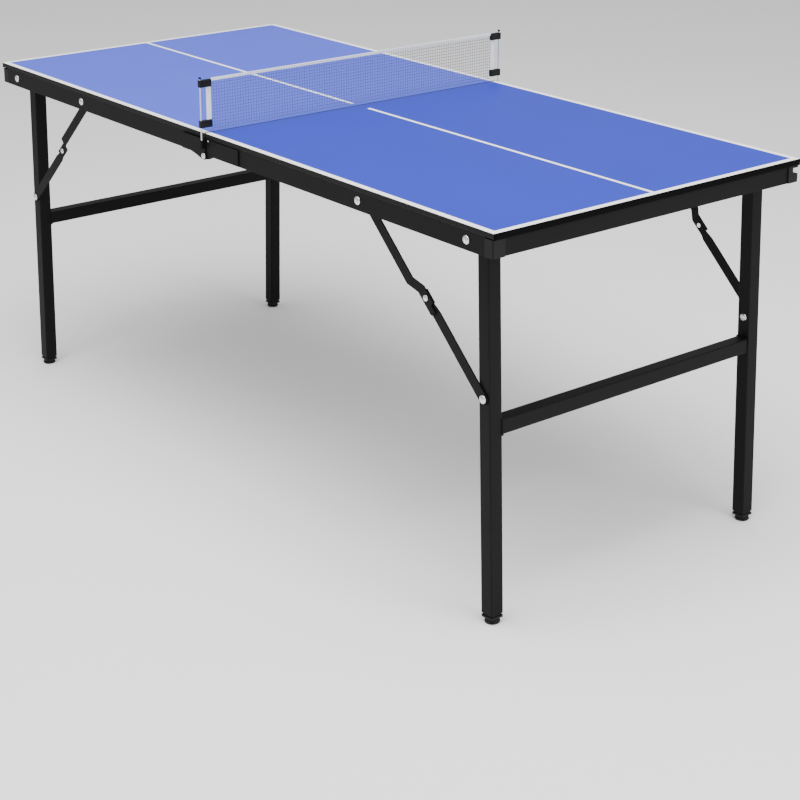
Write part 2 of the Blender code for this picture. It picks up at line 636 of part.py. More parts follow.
def make_plug(half, s, side, t, pivot, length):
    """A plastic plug in the end of a leg, with a square flange and a bore for the foot."""
    shape = bmesh.new()
    inner = TUBE_SIZE - 2 * TUBE_WALL - 2 * TOUCH
    bottom = -(PIVOT_Z - FLANGE_BOTTOM) / math.cos(LEG_TILT)
    rings = [(TUBE_SIZE, bottom), (TUBE_SIZE, bottom + FLANGE_THICKNESS)]
    rings += [(inner, bottom + FLANGE_THICKNESS), (inner, -length + PLUG_LENGTH)]
    loops = []
    for width, z in rings:
        outline = rounded_square(width, TUBE_ROUND)
        loops.append([shape.verts.new((u, v + t * LEG_Y, z)) for u, v in outline])
    for near, far in zip(loops, loops[1:]):
        for i in range(len(near)):
            j = (i + 1) % len(near)
            shape.faces.new((near[i], near[j], far[j], far[i]))
    shape.faces.new(loops[0])
    shape.faces.new(loops[-1])
    plug = new_object(f"foot_plug_{half}_{side}", shape, BLACK_PLASTIC, pivot)

    bore = bmesh.new()
    turn = Matrix.Rotation(s * LEG_TILT, 4, "Y")
    middle = FLANGE_BOTTOM + STEM_LENGTH / 2 - PIVOT_Z
    place = turn @ Vector((s * PIVOT_Z * math.tan(LEG_TILT), t * LEG_Y, middle))
    radius = PIN_RADIUS + PIN_CLEARANCE
    bmesh.ops.create_cone(
        bore,
        cap_ends=True,
        segments=20,
        radius1=radius,
        radius2=radius,
        depth=STEM_LENGTH + 0.008,
        matrix=Matrix.Translation(place) @ turn,
    )
    cut(plug, bore, f"plug_bore_{half}_{side}")


def make_foot(half, s, side, t):
    """A round levelling foot on a threaded stem, which screws down out of its plug."""
    low = FLANGE_BOTTOM - FOOT_TRAVEL_ROOM
    profile = [(0.0, 0.0), (FOOT_RADIUS - 0.0015, 0.0), (FOOT_RADIUS, 0.0015), (FOOT_RADIUS, 0.0032)]
    profile += [(FOOT_RADIUS - 0.001, 0.0038), (FOOT_RADIUS - 0.001, low - 0.001), (FOOT_RADIUS - 0.002, low)]
    profile += [(PIN_RADIUS, low), (PIN_RADIUS, low + STEM_LENGTH), (0.0, low + STEM_LENGTH)]
    shape = bmesh.new()
    add_turned(shape, profile, 1, steps=24)
    bmesh.ops.rotate(shape, verts=shape.verts[:], cent=(0, 0, 0), matrix=Matrix.Rotation(math.pi / 2, 3, "X"))
    foot = new_object(f"levelling_foot_{half}_{side}", shape, BLACK_PLASTIC)
    foot.location = (s * (HALF_LENGTH - LEG_FOOT_FROM_END), t * LEG_Y, 0)
    foot.data.shade_smooth()
    foot.data.set_sharp_from_angle(angle=math.radians(40))


def make_net():
    """The net between its end bands: mesh and top tape."""
    reach = CLIP_INNER_Y - TOUCH
    mesh_top = NET_TOP - TAPE_HEIGHT - TOUCH
    thin = NET_THICKNESS / 2
    thick = TAPE_THICKNESS / 2
    box("net_mesh", (-thin, -reach, TABLE_HEIGHT + NET_BOTTOM), (thin, reach, mesh_top), NET_CORD)
    box("net_top_tape", (-thick, -reach, NET_TOP - TAPE_HEIGHT), (thick, reach, NET_TOP), NET_TAPE)


def make_net_end(side, t):
    """One end of the net: a band between two clips, on a post with a ball on top."""
    thin = NET_THICKNESS / 2
    thick = CLIP_THICKNESS / 2
    low = (-thin, t * CLIP_INNER_Y, LOWER_CLIP_TOP + TOUCH)
    high = (thin, t * (CLIP_INNER_Y + BAND_WIDTH), UPPER_CLIP_BOTTOM - TOUCH)
    box(f"net_band_{side}", low, high, NET_TAPE)
    for level, bottom in (("lower", LOWER_CLIP_TOP - CLIP_HEIGHT), ("upper", UPPER_CLIP_BOTTOM)):
        low = (-thick, t * CLIP_INNER_Y, bottom)
        high = (thick, t * CLIP_OUTER_Y, bottom + CLIP_HEIGHT)
        clip = box(f"net_clip_{level}_{side}", low, high, BLACK_PLASTIC, bevel=0.0008)
        bore = post_cylinder(POST_RADIUS + PIN_CLEARANCE, t, bottom - 0.002, bottom + CLIP_HEIGHT + 0.002, 12)
        cut(clip, bore, f"clip_bore_{level}_{side}")

    ball_z = NET_TOP + BALL_ABOVE_TAPE
    rod = post_cylinder(POST_RADIUS, t, TABLE_HEIGHT - POST_BOTTOM_DROP, ball_z, 12)
    post = new_object(f"net_post_{side}", rod, BRIGHT_STEEL)
    ball = bmesh.new()
    place = Matrix.Translation((0, t * POST_Y, ball_z))
    bmesh.ops.create_uvsphere(ball, u_segments=12, v_segments=8, radius=BALL_RADIUS, matrix=place)
    join(post, ball, f"post_ball_{side}")


for half_name, half_sign in HALVES:
    make_board(half_name, half_sign)
    make_frame(half_name, half_sign)
    make_end_rail(half_name, half_sign)
    make_leg_frame(half_name, half_sign)
    for side_name, side_sign in SIDES:
        make_corner_cap(half_name, half_sign, side_name, side_sign)
        make_pivots(half_name, half_sign, side_name, side_sign)
        make_upper_link(half_name, half_sign, side_name, side_sign)
        make_lower_link(half_name, half_sign, side_name, side_sign)
        make_foot(half_name, half_sign, side_name, side_sign)
for side_name, side_sign in SIDES:
    make_hinge_leaves(side_name, side_sign)
    make_hinge_pin(side_name, side_sign)
    make_net_end(side_name, side_sign)
make_net()
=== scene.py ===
"""Compact folding table tennis table: blue top, black steel frame, folding legs and a net on posts."""

import math

import bmesh
import bpy
from mathutils import Matrix, Vector, noise


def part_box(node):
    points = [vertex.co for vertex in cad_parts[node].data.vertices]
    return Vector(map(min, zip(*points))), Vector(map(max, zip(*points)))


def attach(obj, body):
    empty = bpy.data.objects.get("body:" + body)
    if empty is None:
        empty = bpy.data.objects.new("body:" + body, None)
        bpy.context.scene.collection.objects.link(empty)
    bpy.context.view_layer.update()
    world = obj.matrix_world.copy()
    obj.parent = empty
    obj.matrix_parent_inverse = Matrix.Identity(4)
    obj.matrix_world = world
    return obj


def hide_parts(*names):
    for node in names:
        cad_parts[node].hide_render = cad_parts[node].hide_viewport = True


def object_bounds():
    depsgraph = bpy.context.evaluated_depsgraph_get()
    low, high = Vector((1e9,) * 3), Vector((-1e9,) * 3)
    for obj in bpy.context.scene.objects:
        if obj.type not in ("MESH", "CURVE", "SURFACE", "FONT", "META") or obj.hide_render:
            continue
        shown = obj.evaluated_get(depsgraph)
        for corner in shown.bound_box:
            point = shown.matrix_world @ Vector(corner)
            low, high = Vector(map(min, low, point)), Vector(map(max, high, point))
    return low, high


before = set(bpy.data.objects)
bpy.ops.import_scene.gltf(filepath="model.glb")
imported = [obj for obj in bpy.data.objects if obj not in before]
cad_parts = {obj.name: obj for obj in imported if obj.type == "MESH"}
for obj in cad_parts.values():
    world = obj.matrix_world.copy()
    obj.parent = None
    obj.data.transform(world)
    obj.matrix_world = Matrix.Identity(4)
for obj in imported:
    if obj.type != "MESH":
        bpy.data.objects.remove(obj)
cad_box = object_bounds()

# ---------------------------------------------------------------------------------------------
# The studio. The table stands on a pale seamless floor, lit by a bright even sky, a large soft
# panel overhead and a smaller one off its right end. The camera stands off its right front
# corner, above the playing surface.
FLOOR_REACH, FLOOR_GAP = 30.0, 0.0005

camera_data = bpy.data.cameras.new("studio_camera")
camera_data.lens = 83.18
camera_data.sensor_width = 36.0
camera_data.shift_y = -0.206
camera = bpy.data.objects.new("studio_camera", camera_data)
camera.location = (2.6649, -2.0327, 1.4473)
turn, tip = math.radians(51.353), math.radians(17.277)
towards_camera = Vector((math.sin(turn) * math.cos(tip), -math.cos(turn) * math.cos(tip), math.sin(tip)))
camera.rotation_euler = (-towards_camera).to_track_quat("-Z", "Y").to_euler()
bpy.context.scene.collection.objects.link(camera)
bpy.context.scene.camera = camera

sky = bpy.data.worlds.new("studio_sky")
sky.use_nodes = True
sky.node_tree.nodes["Background"].inputs["Color"].default_value = (1.0, 1.0, 1.0, 1.0)
sky.node_tree.nodes["Background"].inputs["Strength"].default_value = 0.75
bpy.context.scene.world = sky

for label, place, aim, width, power in (
    ("overhead_panel", (0.6, -0.8, 3.4), (0.0, 0.0, 0.6), 3.0, 190.0),
    ("end_panel", (3.8, 0.3, 1.7), (0.4, 0.0, 0.4), 2.2, 80.0),
):
    panel_data = bpy.data.lights.new(label, "AREA")
    panel_data.size = width
    panel_data.energy = power
    panel = bpy.data.objects.new(label, panel_data)
    panel.location = place
    panel.rotation_euler = (Vector(aim) - Vector(place)).to_track_quat("-Z", "Y").to_euler()
    bpy.context.scene.collection.objects.link(panel)


class Flow:
    """One socket of a finish's nodes. Sums on it add Math nodes; node() adds any other node."""

    def __init__(self, tree, socket=None):
        self.tree = tree
        self.socket = socket

    def node(self, kind, settings=None, sockets=None, output=0):
        made = self.tree.nodes.new(kind)
        for name, value in (settings or {}).items():
            if name == "stops":
                for stop, (position, colour) in zip(made.color_ramp.elements, value):
                    stop.position = position
                    stop.color = (*colour, 1.0)
            else:
                setattr(made, name, value)
        for name, value in (sockets or {}).items():
            if isinstance(value, Flow):
                self.tree.links.new(value.socket, made.inputs[name])
            else:
                made.inputs[name].default_value = value
        return Flow(self.tree, made.outputs[output])

    def sum(self, operation, first, second=0.0, clamp=False):
        settings = {"operation": operation, "use_clamp": clamp}
        return self.node("ShaderNodeMath", settings, {0: first, 1: second})

    def __add__(self, other):
        return self.sum("ADD", self, other)

    __radd__ = __add__

    def __sub__(self, other):
        return self.sum("SUBTRACT", self, other)

    def __rsub__(self, other):
        return self.sum("SUBTRACT", other, self)

    def __mul__(self, other):
        return self.sum("MULTIPLY", self, other)

    __rmul__ = __mul__

    def size(self):
        return self.sum("ABSOLUTE", self)

    def above(self, edge, soft):
        """1 where this value is above an edge, 0 below it, with a soft step between."""
        return self.sum("MULTIPLY", self - edge, 1.0 / soft, clamp=True)

    def blend(self, low, high):
        """A colour between two, by this value."""
        return self.node("ShaderNodeMix", {"data_type": "RGBA"}, {0: self, 6: low, 7: high}, output=2)

    def grain(self, scale, detail=3.0, stretch=None):
        """Noise on the piece's own coordinates, from 0 to 1; stretch scales each axis."""
        place = self.node("ShaderNodeTexCoord", output=3)
        if stretch:
            place = self.node("ShaderNodeMapping", {}, {"Vector": place, "Scale": stretch})
        return self.node("ShaderNodeTexNoise", {}, {"Vector": place, "Scale": scale, "Detail": detail})


def finish(name, parts, **fixed):
    """A Principled finish. parts takes a Flow and returns what varies; fixed values go on the shader."""
    made = bpy.data.materials.new(name)
    made.use_nodes = True
    tree = made.node_tree
    tree.nodes.clear()
    start = Flow(tree)
    sockets = {key.replace("_", " "): value for key, value in fixed.items()}
    varying = parts(start)
    height = varying.pop("height", None)
    if height:
        depth, field = height
        bump = {"Strength": 1.0, "Distance": depth, "Height": field}
        sockets["Normal"] = start.node("ShaderNodeBump", {}, bump)
    sockets.update(varying)
    shader = start.node("ShaderNodeBsdfPrincipled", {}, sockets)
    end = tree.nodes.new("ShaderNodeOutputMaterial")
    tree.links.new(shader.socket, end.inputs["Surface"])
    return made


def piece(name, shape, coat, body, replaced=(), smooth=40.0):
    """Turns a bmesh into a finished piece that rides on a body and stands for CAD nodes."""
    mesh = bpy.data.meshes.new(name)
    shape.to_mesh(mesh)
    shape.free()
    mesh.materials.append(coat)
    mesh.shade_smooth()
    mesh.set_sharp_from_angle(angle=math.radians(smooth))
    made = bpy.data.objects.new(name, mesh)
    bpy.context.scene.collection.objects.link(made)
    made.modifiers.new("even_flats", "WEIGHTED_NORMAL").keep_sharp = True
    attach(made, body)
    if replaced:
        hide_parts(*replaced)
    return made


def floor_parts(start):
    return {"Base Color": start.grain(3.0, 2.0).blend((0.93, 0.93, 0.93, 1), (0.95, 0.95, 0.95, 1))}


floor_shape = bmesh.new()
bmesh.ops.create_grid(floor_shape, x_segments=1, y_segments=1, size=FLOOR_REACH)
floor_mesh = bpy.data.meshes.new("studio_floor")
floor_shape.to_mesh(floor_mesh)
floor_shape.free()
floor_mesh.materials.append(finish("pale_floor", floor_parts, Roughness=0.9))
floor = bpy.data.objects.new("studio_floor", floor_mesh)
floor.location.z = cad_box[0][2] - FLOOR_GAP
bpy.context.scene.collection.objects.link(floor)

# ---------------------------------------------------------------------------------------------
# The folded steel frames, end rails, hinge leaves, braces and welded legs. All are mild steel
# sheet and tube with a satin black powder coat, which rounds every edge and has a fine pebble.
HALVES = {"left": -1, "right": 1}
SIDES = {"front": -1, "back": 1}
EDGE_ROUND = 0.0005
SHARP_CORNER = math.radians(30.0)
BEAD_START = 0.0001


def rounded(shape, edges, offset):
    """Rounds over some edges of a bmesh."""
    bmesh.ops.bevel(
        shape,
        geom=edges,
        offset=offset,
        segments=2,
        profile=0.5,
        affect="EDGES",
        clamp_overlap=True,
        material=-1,
    )


def softened(node, offset):
    """A clean copy of a CAD node's mesh with its sharp edges rounded over."""
    shape = bmesh.new()
    shape.from_mesh(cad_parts[node].data)
    bmesh.ops.remove_doubles(shape, verts=shape.verts[:], dist=0.00001)
    bmesh.ops.dissolve_limit(
        shape, angle_limit=math.radians(1.0), verts=shape.verts[:], edges=shape.edges[:], delimit={"NORMAL"}
    )
    sharp = [
        edge
        for edge in shape.edges
        if len(edge.link_faces) == 2
        and edge.calc_face_angle(0.0) > SHARP_CORNER
        and edge.calc_length() > 2 * offset
    ]
    rounded(shape, sharp, offset)
    return shape


def powder_parts(start):
    pebble = start.grain(1400.0, 2.0)
    flow = start.grain(260.0, 3.0)
    dust = start.grain(9.0, 5.0)
    colour = dust.blend((0.0036, 0.0034, 0.0037, 1), (0.0056, 0.0053, 0.0057, 1))
    return {
        "Base Color": colour,
        "Roughness": 0.46 + 0.12 * dust,
        "height": (0.00010, 0.6 * pebble + 0.8 * flow),
    }


def bead_parts(start):
    rub = start.grain(240.0, 4.0)
    return {
        "Base Color": rub.blend((0.0010, 0.0010, 0.0011, 1), (0.0022, 0.0022, 0.0024, 1)),
        "Roughness": 0.62 + 0.12 * rub,
        "height": (0.00008, rub),
    }


powder_coat = finish("black_powder_coat", powder_parts, Specular_IOR_Level=0.09)
matt_bead = finish("matt_black_bead", bead_parts, Specular_IOR_Level=0.04)

for half, s in HALVES.items():
    for node, body in ((f"side_frame_{half}", f"{half}_half"), (f"leg_frame_{half}", f"{half}_legs")):
        piece(f"{node}_steel", softened(node, EDGE_ROUND), powder_coat, body, (node,))
    # The end rail's top edge is rolled into a bead that stands proud of the board and stays matt.
    node = f"end_rail_{half}"
    rail_shape = softened(node, EDGE_ROUND)
    rail = piece(f"{node}_steel", rail_shape, powder_coat, f"{half}_half", (node,))
    rail.data.materials.append(matt_bead)
    board_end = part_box(f"board_{half}")[s > 0][0]
    for face in rail.data.polygons:
        if s * (face.center.x - board_end) > BEAD_START:
            face.material_index = 1
    for side in SIDES:
        for node, body in (
            (f"hinge_leaf_{half}_{side}", f"{half}_half"),
            (f"brace_upper_{half}_{side}", f"brace_upper_{half}_{side}"),
            (f"brace_lower_{half}_{side}", f"brace_lower_{half}_{side}"),
        ):
            piece(f"{node}_steel", softened(node, EDGE_ROUND), powder_coat, body, (node,))

# ---------------------------------------------------------------------------------------------
# Weld fillets. Each crossbar is welded all round to the inner faces of its two legs, and the
# bead is left as it ran, under the same powder coat.
CROSSBAR_DROP = 0.3063
FILLET_REACH, FILLET_THICK, FILLET_SUNK, FILLET_ROUND = 0.0017, 0.0030, 0.0004, 0.0013
RIPPLE, RIPPLE_RATE, LUMP, LUMP_RATE = 0.00035, 1500.0, 0.0002, 400.0


def node_box(node):
    """The low corner, the high corner and the centre of a CAD node."""
    low, high = map(Vector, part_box(node))
    return low, high, (low + high) / 2


# The two halves are mirror images, so the right half's leg gives the sizes of both.
pivot = node_box("leg_pivot_right_front")[2]
plug_low, plug_high, plug_centre = node_box("foot_plug_right_front")
TUBE = plug_high.y - plug_low.y
LEG_TILT = math.atan2(plug_centre.x - pivot.x, pivot.z - plug_centre.z)
AROUND = TUBE + 2 * FILLET_REACH

for half, s in HALVES.items():
    bead = bmesh.new()
    for t in SIDES.values():
        ring = bmesh.ops.create_cube(bead, size=1.0)["verts"]
        bmesh.ops.scale(bead, verts=ring, vec=(AROUND, FILLET_THICK, AROUND))
        bmesh.ops.translate(bead, verts=ring, vec=(0, t * (abs(plug_high.y) - FILLET_SUNK), 0))
    rounded(bead, bead.edges[:], FILLET_ROUND)
    long_edges = [edge for edge in bead.edges if edge.calc_length() > 0.6 * TUBE]
    bmesh.ops.subdivide_edges(bead, edges=long_edges, cuts=14, use_grid_fill=True)
    for vert in bead.verts:
        ripple = RIPPLE * math.sin(RIPPLE_RATE * (vert.co.x + vert.co.z))
        ripple += LUMP * noise.noise(vert.co * LUMP_RATE)
        vert.co += vert.normal * ripple
    lean = Matrix.Rotation(-s * LEG_TILT, 4, "Y")
    drop = lean @ Vector((0, 0, -CROSSBAR_DROP / math.cos(LEG_TILT)))
    place = Matrix.Translation((s * pivot.x + drop.x, 0, pivot.z + drop.z)) @ lean
    bmesh.ops.transform(bead, matrix=place, verts=bead.verts[:])
    bmesh.ops.recalc_face_normals(bead, faces=bead.faces[:])
    piece(f"crossbar_welds_{half}", bead, powder_coat, f"{half}_legs")

# ---------------------------------------------------------------------------------------------
# Plastic corner caps, leg plugs and levelling feet: black injection-moulded parts with a fine
# spark-eroded grain, pushed into the rails and tubes or turned on their threads.
CAP_ROUND, PLUG_ROUND = 0.0008, 0.0006
RIM_TOP, GRIP_LOW, GRIP_HIGH, PAD_TOP = 0.0030, 0.0042, 0.0072, 0.0084
SCALLOPS, SCALLOP_DEEP = 24, 0.0004
THREADS, THREAD_ROOT, THREAD_CREST, THREAD_RISE = 12, 0.0033, 0.0039, 0.0006
STEM_NECK, STEM_TIP = 0.0038, 0.0030


def moulded_parts(start):
    grain = start.grain(2400.0, 2.0)
    wear = start.grain(30.0, 4.0)
    return {
        "Base Color": wear.blend((0.0040, 0.0040, 0.0044, 1), (0.0070, 0.0070, 0.0076, 1)),
        "Roughness": 0.46 + 0.14 * wear,
        "height": (0.00006, grain),
    }


moulded_black = finish("moulded_black_plastic", moulded_parts, Specular_IOR_Level=0.16)

def spun(outline, centre, axis, steps):
    """A bmesh with a line of points spun about an axis through a centre."""
    shape = bmesh.new()
    verts = [shape.verts.new(point) for point in outline]
    edges = [shape.edges.new(pair) for pair in zip(verts, verts[1:])]
    bmesh.ops.spin(
        shape, geom=verts + edges, cent=centre, axis=axis, angle=math.tau, steps=steps, use_merge=True
    )
    bmesh.ops.remove_doubles(shape, verts=shape.verts[:], dist=0.000001)
    return shape


for half in HALVES:
    for side in SIDES:
        for node, offset, body in (
            (f"corner_cap_{half}_{side}", CAP_ROUND, f"{half}_half"),
            (f"foot_plug_{half}_{side}", PLUG_ROUND, f"{half}_legs"),
        ):
            shape = softened(node, offset)
            piece(f"{node}_moulding", shape, moulded_black, body, (node,))

        node = f"levelling_foot_{half}_{side}"
        low, high, centre = node_box(node)
        radius = (high.x - low.x) / 2
        grip = 0.93 * radius
        profile = [(0.0, 0.0), (0.72 * radius, 0.0), (grip, 0.0004), (radius, 0.0016), (radius, RIM_TOP)]
        profile += [(0.955 * radius, RIM_TOP + 0.0006), (grip, GRIP_LOW), (grip, GRIP_HIGH)]
        profile += [(0.88 * radius, PAD_TOP - 0.0004), (0.40 * radius, PAD_TOP), (STEM_NECK, PAD_TOP)]
        pitch = (high.z - PAD_TOP - 0.0010) / THREADS
        for turn_number in range(THREADS):
            base = PAD_TOP + 0.0002 + turn_number * pitch
            profile += [(THREAD_ROOT, base), (THREAD_CREST, base + THREAD_RISE)]
        profile += [(STEM_TIP, high.z - 0.0002), (0.0, high.z)]
        outline = [(centre.x + r, centre.y, z) for r, z in profile]
        pad = spun(outline, (centre.x, centre.y, 0), (0, 0, 1), 48)
        for vert in pad.verts:
            away = Vector((vert.co.x - centre.x, vert.co.y - centre.y, 0))
            if GRIP_LOW - 0.0002 < vert.co.z < GRIP_HIGH + 0.0002 and away.length > 0.9 * radius:
                wave = 1 + math.cos(SCALLOPS * math.atan2(away.y, away.x))
                vert.co -= away.normalized() * SCALLOP_DEEP * wave
        bmesh.ops.recalc_face_normals(pad, faces=pad.faces[:])
        piece(f"{node}_pad", pad, moulded_black, f"foot_{half}_{side}", (node,))

# ---------------------------------------------------------------------------------------------
# Rivets. Zinc-plated steel with a low domed head, set by a press, so the heads are smooth with
# a faint ring from the tool. They carry the legs, the braces and the middle hinge.
HEAD_SHARE, HEAD_TALL, ELBOW_HEAD_TALL = 0.9, 0.0030, 0.0024
DOME_STEPS, DOME_RISE = 7, 0.85
SHANK, SHOULDER, TAIL, TAIL_TALL = 0.0040, 0.0070, 0.0068, 0.0030
HEAD_TO_WEB, SHOULDER_ROOM = 0.0052, 0.0003


def zinc_parts(start):
    spangle = start.grain(420.0, 4.0)
    haze = start.grain(60.0, 3.0)
    return {
        "Base Color": haze.blend((0.66, 0.67, 0.69, 1), (0.82, 0.83, 0.84, 1)),
        "Roughness": 0.22 + 0.16 * spangle,
        "height": (0.00002, spangle),
    }


zinc_plate = finish("zinc_plated_steel", zinc_parts, Metallic=1.0)


def rivet_head(node, head):
    """A rivet's centre, its outward side, its outer and inner ends, and its head's outline."""
    low, high, centre = node_box(node)
    way = 1 if centre.y > 0 else -1
    outer, inner = (high.y, low.y) if way > 0 else (low.y, high.y)
    radius = HEAD_SHARE * (high.x - low.x) / 2
    outline = [(0.0, outer - way * 0.0011), (0.0011, outer - way * 0.0010)]
    outline += [(0.0015, outer - way * 0.0004), (0.0019, outer)]
    for i in range(2, DOME_STEPS + 1):
        angle = math.pi / 2 * i / DOME_STEPS
        outline.append((radius * math.sin(angle), outer - way * head * DOME_RISE * (1 - math.cos(angle))))
    outline += [(radius, outer - way * head), (SHANK, outer - way * head)]
    return centre, way, outer, inner, outline


def turned_rivet(name, outline, centre, body, replaced):
    """A finished rivet, spun about the Y axis through a point from its outline of (radius, y) pairs."""
    points = [(centre.x + r, y, centre.z) for r, y in outline]
    shape = spun(points, (centre.x, 0, centre.z), (0, 1, 0), 36)
    bmesh.ops.recalc_face_normals(shape, faces=shape.faces[:])
    piece(name, shape, zinc_plate, body, replaced, smooth=35.0)


def plain_rivet(node, head, body):
    """A finished rivet with a head at its outer end only."""
    centre, _, _, inner, outline = rivet_head(node, head)
    turned_rivet(f"{node}_rivet", outline + [(SHANK, inner), (0.0, inner)], centre, body, (node,))


for half in HALVES:
    leg_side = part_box(f"leg_frame_{half}")[1][1]
    for side in SIDES:
        # The leg and brace pivots have a shoulder against the rail's web and an inner head.
        link_low, link_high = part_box(f"brace_upper_{half}_{side}")
        link_side = max(abs(link_low[1]), abs(link_high[1]))
        for node, carried in (
            (f"leg_pivot_{half}_{side}", leg_side),
            (f"brace_pivot_{half}_{side}", link_side),
        ):
            centre, way, outer, inner, outline = rivet_head(node, HEAD_TALL)
            web = outer - way * HEAD_TO_WEB
            shoulder = way * (carried + SHOULDER_ROOM)
            outline += [(SHANK, web), (SHOULDER - 0.0002, web), (SHOULDER, web - way * 0.0003)]
            outline += [(SHOULDER, shoulder), (SHANK, shoulder), (SHANK, inner + way * TAIL_TALL)]
            outline += [(TAIL, inner + way * TAIL_TALL), (TAIL - 0.0002, inner + way * 0.0012)]
            outline += [(0.0048, inner), (0.0016, inner + way * 0.0004), (0.0, inner + way * 0.0005)]
            turned_rivet(f"{node}_rivet", outline, centre, f"{half}_half", (node,))
        plain_rivet(f"elbow_rivet_{half}_{side}", ELBOW_HEAD_TALL, f"brace_upper_{half}_{side}")
        plain_rivet(f"leg_rivet_{half}_{side}", HEAD_TALL, f"brace_lower_{half}_{side}")
for side in SIDES:
    plain_rivet(f"hinge_pin_{side}", HEAD_TALL, "left_half")

# ---------------------------------------------------------------------------------------------
# The closed ends of the brace rivets, on the inner faces of the legs, and the small blind
# rivet that fixes the outer end of each right hinge leaf. All are the same zinc-plated steel.
END_RADIUS = 0.0066
LEAF_RIVET_X, LEAF_RIVET_DROP, LEAF_RIVET_RADIUS = 0.0116, 0.0020, 0.0016

for half in HALVES:
    for side, t in SIDES.items():
        rivet_centre = node_box(f"leg_rivet_{half}_{side}")[2]
        face = t * (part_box(f"leg_frame_{half}")[1][1] - TUBE)
        profile = [(0.0, face - t * 0.0010), (0.0018, face - t * 0.0010), (0.0023, face - t * 0.0020)]
        profile += [(0.0031, face - t * 0.0024), (0.0046, face - t * 0.0021), (0.0060, face - t * 0.0013)]
        profile += [(END_RADIUS, face - t * 0.0004), (END_RADIUS, face), (0.0, face)]
        turned_rivet(f"brace_rivet_end_{half}_{side}", profile, rivet_centre, f"{half}_legs", ())
for side, t in SIDES.items():
    low, high, _ = node_box(f"hinge_leaf_right_{side}")
    face = high.y if t > 0 else low.y
    profile = [(0.0, face + t * 0.0007), (0.0009, face + t * 0.0006), (0.0014, face + t * 0.0003)]
    profile += [(LEAF_RIVET_RADIUS, face), (0.0, face)]
    rivet_centre = Vector((LEAF_RIVET_X, 0, high.z - LEAF_RIVET_DROP))
    turned_rivet(f"leaf_rivet_{side}", profile, rivet_centre, "right_half", ())

# ---------------------------------------------------------------------------------------------
# The playing boards: 9 mm fibreboard, roller-coated satin blue with screen-printed white side,
# end and centre lines. The edges are sealed black and the underside is sealed grey.
HALF_LONG, HALF_WIDE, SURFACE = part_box("board_right")[1]
LINE_WIDE, CENTRE_WIDE = 0.0105, 0.0066
CENTRE_STOP_LEFT, CENTRE_STOP_RIGHT = -0.018, 0.030
JOINT_SHADE_REACH = 0.0016
EDGE_DEPTH, UNDERSIDE_DEPTH = 0.0008, 0.0086


def board_parts(start):
    place = start.node("ShaderNodeTexCoord", output=3)
    along, across, up = (
        start.node("ShaderNodeSeparateXYZ", {}, {"Vector": place}, output=i) for i in range(3)
    )
    soft = 0.00025
    side_line = across.size().above(HALF_WIDE - LINE_WIDE, soft)
    end_line = along.size().above(HALF_LONG - LINE_WIDE, soft)
    middle = 1 - across.size().above(CENTRE_WIDE / 2, soft)
    clear_of_net = along.above(CENTRE_STOP_RIGHT, soft) + (1 - along.above(CENTRE_STOP_LEFT, soft))
    line = start.sum("MAXIMUM", start.sum("MAXIMUM", side_line, end_line), middle * clear_of_net)
    speck = start.grain(900.0, 3.0)
    cloud = start.grain(5.0, 4.0)
    roller = start.grain(700.0, 2.0, (1.0, 0.12, 1.0))
    deep_blue = cloud.blend((0.012, 0.026, 0.37, 1), (0.015, 0.031, 0.41, 1))
    # The left half (along below 0) gets a paler blue. This is painted reflection, standing in for the
    # brighter sheen on that half; the right half keeps the plain blue.
    painted_reflection_blue = cloud.blend((0.052, 0.080, 0.58, 1), (0.060, 0.090, 0.63, 1))
    blue = along.above(0.0, soft).blend(painted_reflection_blue, deep_blue)
    white = cloud.blend((0.92, 0.92, 0.92, 1), (0.95, 0.95, 0.95, 1))
    # A dark navy band 1.6 mm each side of the joint between the halves is painted shade. It widens the dark
    # line of the gap between the boards.
    painted_joint_shade = 1 - along.size().above(JOINT_SHADE_REACH, soft)
    painted = painted_joint_shade.blend(line.blend(blue, white), (0.004, 0.008, 0.06, 1))
    edge_black = speck.blend((0.0036, 0.0034, 0.0037, 1), (0.0056, 0.0053, 0.0057, 1))
    under_grey = speck.blend((0.045, 0.045, 0.047, 1), (0.075, 0.075, 0.078, 1))
    below = 1 - up.above(SURFACE - EDGE_DEPTH, 0.0002)
    bottom = 1 - up.above(SURFACE - UNDERSIDE_DEPTH, 0.0002)
    colour = bottom.blend(below.blend(painted, edge_black), under_grey)
    return {
        "Base Color": colour,
        "Roughness": 0.40 + 0.06 * speck + 0.06 * line + 0.20 * bottom,
        "height": (0.00005, 0.5 * roller + 0.5 * speck + 1.2 * line),
    }


board_coat = finish("blue_board_paint", board_parts, Specular_IOR_Level=0.12)
for half in HALVES:
    node = f"board_{half}"
    piece(f"{node}_panel", softened(node, EDGE_ROUND), board_coat, f"{half}_half", (node,))

# ---------------------------------------------------------------------------------------------
# Board screws. Black pan-head wood screws hold each board down from below, through the flanges
# of the side channels and of the end rail.
FLANGE_THICK = 0.0015
SCREW_TIP, SCREW_RIM, SCREW_TALL, SCREW_DROP = 0.0026, 0.0042, 0.0022, 0.0013
FROM_LONG_SIDE, FROM_END = 0.0195, 0.0165
ALONG_SIDE, ALONG_END = (0.060, 0.215, 0.370, 0.525, 0.655), (-0.21, 0.0, 0.21)
SOCKET_RIM, SOCKET_DEEP = 0.0009, 0.0007

